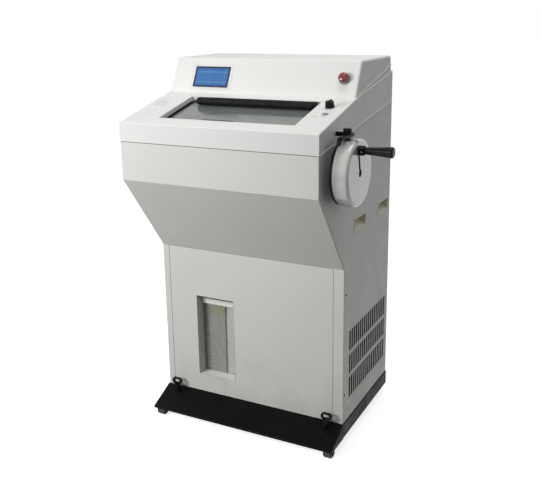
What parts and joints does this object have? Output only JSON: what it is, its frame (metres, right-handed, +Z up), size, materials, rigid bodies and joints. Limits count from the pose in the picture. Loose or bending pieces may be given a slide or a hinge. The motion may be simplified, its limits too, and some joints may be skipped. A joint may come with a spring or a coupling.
{
  "type": "cryostat microtome",
  "caption": "Floor-standing cryostat microtome: pale cabinet with leaning belly, sunken deck window, handwheel with crank grip, console display and a base on rollers.",
  "frame": {"origin": "middle of the whole object's footprint box, on the floor", "axes": "+Z up; +X to the operator's right, where the handwheel is; the front faces -Y"},
  "size_m": [0.791, 0.579, 1.1375],
  "materials": {
    "aluminium": "anodised aluminium",
    "bearing_steel": "machined housing",
    "belt": "black belt",
    "black_enamel": "gloss black can",
    "black_plastic": "moulded black",
    "black_rubber": "soft black rubber",
    "black_steel": "satin black powder coat",
    "body_paint": "fine-textured off-white powder coat",
    "clear_plastic": "clear acrylic plate",
    "copper": "copper pipe",
    "cover_plastic": "moulded off-white cover",
    "display_blue": "blue display",
    "display_frame": "dark navy frame",
    "foam": "rigid foam",
    "glass": "clear heated pane",
    "grey_plastic": "moulded grey",
    "grip_plastic": "moulded beige-grey cup",
    "ground_steel": "ground steel",
    "red_plastic": "dark red mushroom head",
    "stainless": "brushed stainless sheet",
    "tank_plastic": "translucent natural plastic",
    "tread": "dark wheel",
    "wheel_paint": "off-white painted casting",
    "white_plastic": "moulded white"
  },
  "bodies": {
    "root": {"base_frame": "black_steel", "base_skirt": "black_steel", "base_fittings": "black_steel", "left_side_panel": "body_paint", "right_side_panel": "body_paint", "rear_panel": "body_paint", "belly_fascia": "body_paint", "front_posts": "body_paint", "front_panel": "body_paint", "tank_recess": "white_plastic", "side_grille": "body_paint", "flush_grips": "grip_plastic", "deck_cover": "cover_plastic", "window_seals": "black_rubber", "console_cover": "cover_plastic", "display_bezel": "display_frame", "display_screen": "display_blue", "control_blocks": "grey_plastic", "keypad": "cover_plastic", "shaft_bearings": "bearing_steel", "drive_belt": "belt", "chamber_liner": "stainless", "insulation": "foam", "chamber_fittings": "aluminium", "freezing_shelf": "aluminium", "microtome_frame": "bearing_steel", "compressor": "black_enamel", "condenser_pack": "aluminium", "pipework": "copper", "mains_inlet": "black_plastic"},
    "left_front_roller": {"left_front_roller": "tread"},
    "right_front_roller": {"right_front_roller": "tread"},
    "left_castor_fork": {"left_castor_fork": "ground_steel"},
    "right_castor_fork": {"right_castor_fork": "ground_steel"},
    "left_castor_wheel": {"left_castor_wheel": "tread"},
    "right_castor_wheel": {"right_castor_wheel": "tread"},
    "left_jack": {"left_jack": "black_steel"},
    "right_jack": {"right_jack": "black_steel"},
    "waste_tank": {"waste_tank": "tank_plastic", "tank_cap": "white_plastic"},
    "window": {"glass_pane": "glass", "window_pull": "black_plastic"},
    "stop_button": {"stop_button": "red_plastic"},
    "selector_knob": {"selector_knob": "black_plastic"},
    "lamp_button": {"lamp_button": "grey_plastic"},
    "handwheel": {"handwheel": "wheel_paint", "wheel_shaft": "ground_steel"},
    "main_shaft": {"main_shaft": "ground_steel"},
    "grip_carrier": {"grip_carrier": "black_plastic"},
    "crank_grip": {"crank_grip": "black_plastic"},
    "lock_lever": {"lock_lever": "black_plastic"},
    "carriage": {"carriage": "aluminium"},
    "feed_cylinder": {"feed_cylinder": "ground_steel"},
    "specimen_head": {"specimen_head": "ground_steel"},
    "knife_stage": {"knife_stage": "ground_steel", "blade": "ground_steel"},
    "base_lever": {"base_lever": "black_plastic"},
    "blade_lever": {"blade_lever": "black_plastic"},
    "anti_roll_plate": {"anti_roll_plate": "clear_plastic"},
    "condenser_fan": {"condenser_fan": "black_plastic"}
  },
  "joints": [
    {"name": "left_roller_spin", "type": "hinge", "parent": "root", "child": "left_front_roller", "pos_m": [-0.3765, -0.1755, 0.018], "axis": [1, 0, 0], "continuous": true},
    {"name": "left_castor_swivel", "type": "hinge", "parent": "root", "child": "left_castor_fork", "pos_m": [-0.3035, 0.1925, 0], "axis": [0, 0, 1], "continuous": true},
    {"name": "left_castor_spin", "type": "hinge", "parent": "left_castor_fork", "child": "left_castor_wheel", "pos_m": [-0.3035, 0.2105, 0.025], "axis": [1, 0, 0], "continuous": true},
    {"name": "left_jack_screw", "type": "slide", "parent": "root", "child": "left_jack", "axis": [0, 0, -1], "range_m": [0, 0.008]},
    {"name": "right_roller_spin", "type": "hinge", "parent": "root", "child": "right_front_roller", "pos_m": [0.2095, -0.1755, 0.018], "axis": [1, 0, 0], "continuous": true},
    {"name": "right_castor_swivel", "type": "hinge", "parent": "root", "child": "right_castor_fork", "pos_m": [0.1365, 0.1925, 0], "axis": [0, 0, 1], "continuous": true},
    {"name": "right_castor_spin", "type": "hinge", "parent": "right_castor_fork", "child": "right_castor_wheel", "pos_m": [0.1365, 0.2105, 0.025], "axis": [1, 0, 0], "continuous": true},
    {"name": "right_jack_screw", "type": "slide", "parent": "root", "child": "right_jack", "axis": [0, 0, -1], "range_m": [0, 0.008]},
    {"name": "tank_slide", "type": "slide", "parent": "root", "child": "waste_tank", "axis": [0, -1, 0], "range_m": [0, 0.15]},
    {"name": "window_slide", "type": "slide", "parent": "root", "child": "window", "axis": [0, 0.9728, 0.2317], "range_m": [0, 0.1137]},
    {"name": "stop_press", "type": "slide", "parent": "root", "child": "stop_button", "axis": [0, 0.8973, -0.4415], "range_m": [0, 0.005], "stiffness_N_per_m": 600, "springref_m": -0.003},
    {"name": "selector_turn", "type": "hinge", "parent": "root", "child": "selector_knob", "pos_m": [0.1775, -0.10273, 1.0185], "axis": [0, 0.2317, -0.9728], "range_deg": [-135, 135]},
    {"name": "lamp_press", "type": "slide", "parent": "root", "child": "lamp_button", "axis": [0, 0.2317, -0.9728], "range_m": [0, 0.002], "stiffness_N_per_m": 400, "springref_m": -0.002},
    {"name": "handwheel_turn", "type": "hinge", "parent": "root", "child": "handwheel", "pos_m": [0.3015, -0.1955, 0.864], "axis": [1, 0, 0], "continuous": true},
    {"name": "main_shaft_turn", "type": "hinge", "parent": "root", "child": "main_shaft", "pos_m": [-0.0315, 0.0225, 0.85], "axis": [1, 0, 0], "continuous": true},
    {"name": "grip_centring", "type": "slide", "parent": "handwheel", "child": "grip_carrier", "axis": [0, 0.2198, -0.9755], "range_m": [0, 0.064]},
    {"name": "grip_spin", "type": "hinge", "parent": "grip_carrier", "child": "crank_grip", "pos_m": [0.3185, -0.20957, 0.92643], "axis": [1, 0, 0], "continuous": true},
    {"name": "lock_lever_turn", "type": "hinge", "parent": "root", "child": "lock_lever", "pos_m": [0.2265, -0.1775, 0.9605], "axis": [1, 0, 0], "range_deg": [-35, 0]},
    {"name": "carriage_slide", "type": "slide", "parent": "root", "child": "carriage", "axis": [0, 0, 1], "range_m": [0, 0.056]},
    {"name": "feed", "type": "slide", "parent": "carriage", "child": "feed_cylinder", "axis": [0, -1, 0], "range_m": [0, 0.015]},
    {"name": "head_tilt", "type": "hinge", "parent": "feed_cylinder", "child": "specimen_head", "pos_m": [-0.0835, -0.0475, 0.862], "axis": [1, 0, 0], "range_deg": [-8, 8]},
    {"name": "knife_slide", "type": "slide", "parent": "root", "child": "knife_stage", "axis": [0, -1, 0], "range_m": [0, 0.022]},
    {"name": "base_lever_turn", "type": "hinge", "parent": "knife_stage", "child": "base_lever", "pos_m": [-0.1485, -0.1215, 0.762], "axis": [1, 0, 0], "range_deg": [0, 60]},
    {"name": "blade_lever_turn", "type": "hinge", "parent": "knife_stage", "child": "blade_lever", "pos_m": [-0.0335, -0.1235, 0.816], "axis": [1, 0, 0], "range_deg": [-60, 0]},
    {"name": "anti_roll_turn", "type": "hinge", "parent": "knife_stage", "child": "anti_roll_plate", "pos_m": [-0.0835, -0.1515, 0.817], "axis": [1, 0, 0], "range_deg": [0, 80]},
    {"name": "fan_spin", "type": "hinge", "parent": "root", "child": "condenser_fan", "pos_m": [0.2145, 0.0965, 0.249], "axis": [1, 0, 0], "continuous": true}
  ],
  "couplings": [
    {"joint": "main_shaft_turn", "follows": "handwheel_turn", "ratio": 1}
  ]
}
